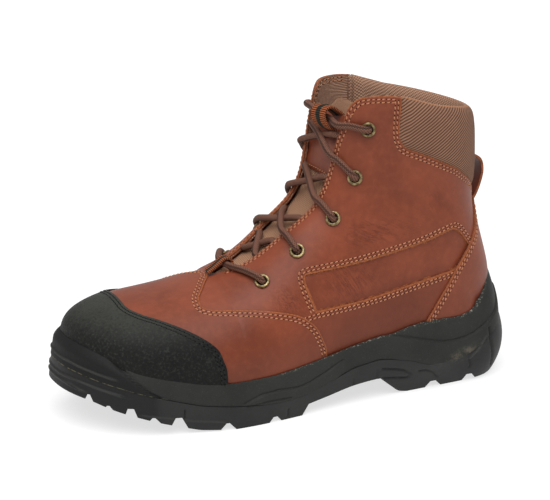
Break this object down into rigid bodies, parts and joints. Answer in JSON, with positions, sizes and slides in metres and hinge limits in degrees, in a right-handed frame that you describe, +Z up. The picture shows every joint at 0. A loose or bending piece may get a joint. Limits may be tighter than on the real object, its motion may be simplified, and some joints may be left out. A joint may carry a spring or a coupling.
{
  "type": "safety shoe",
  "caption": "Left ankle-high lace-up safety shoe with a hollow brown leather upper, black toe overlay, padded textile collar and a lugged rubber sole with a ribbed toe bumper.",
  "frame": {"origin": "middle of the bounding box on the floor under the sole", "axes": "+X towards the toe, +Y to the wearer's left, which is the outer side of this left shoe, +Z up"},
  "size_m": [0.2996, 0.1082, 0.1901],
  "materials": {
    "leather_brown": "satin oiled leather, fine creases",
    "cap_black": "matte black coated leather",
    "textile_brown": "padded twill",
    "webbing_orange": "woven webbing with a dark stripe",
    "brass_antique": "antique brass",
    "midsole_grey": "matte moulded foam",
    "rubber_black": "matte moulded rubber",
    "footbed": "felted lining",
    "lace_brown": "round braid"
  },
  "bodies": {
    "root": {"midsole": "midsole_grey", "outsole": "rubber_black", "insole": "footbed", "upper": "leather_brown", "toe_cap": "cap_black", "counter": "leather_brown", "collar_cuff": "textile_brown", "tongue": "textile_brown", "throat_loop": "webbing_orange", "tongue_loop": "webbing_orange", "heel_pull_loop": "leather_brown", "eyelet_outer_1": "brass_antique", "eyelet_outer_2": "brass_antique", "eyelet_outer_3": "brass_antique", "eyelet_outer_4": "brass_antique", "eyelet_outer_5": "brass_antique", "eyelet_inner_1": "brass_antique", "eyelet_inner_2": "brass_antique", "eyelet_inner_3": "brass_antique", "eyelet_inner_4": "brass_antique", "eyelet_inner_5": "brass_antique", "lace_bar_1": "lace_brown", "lace_cross_1": "lace_brown", "lace_cross_2": "lace_brown", "lace_cross_3": "lace_brown", "lace_cross_4": "lace_brown", "lace_bar_5": "lace_brown"}
  },
  "joints": []
}
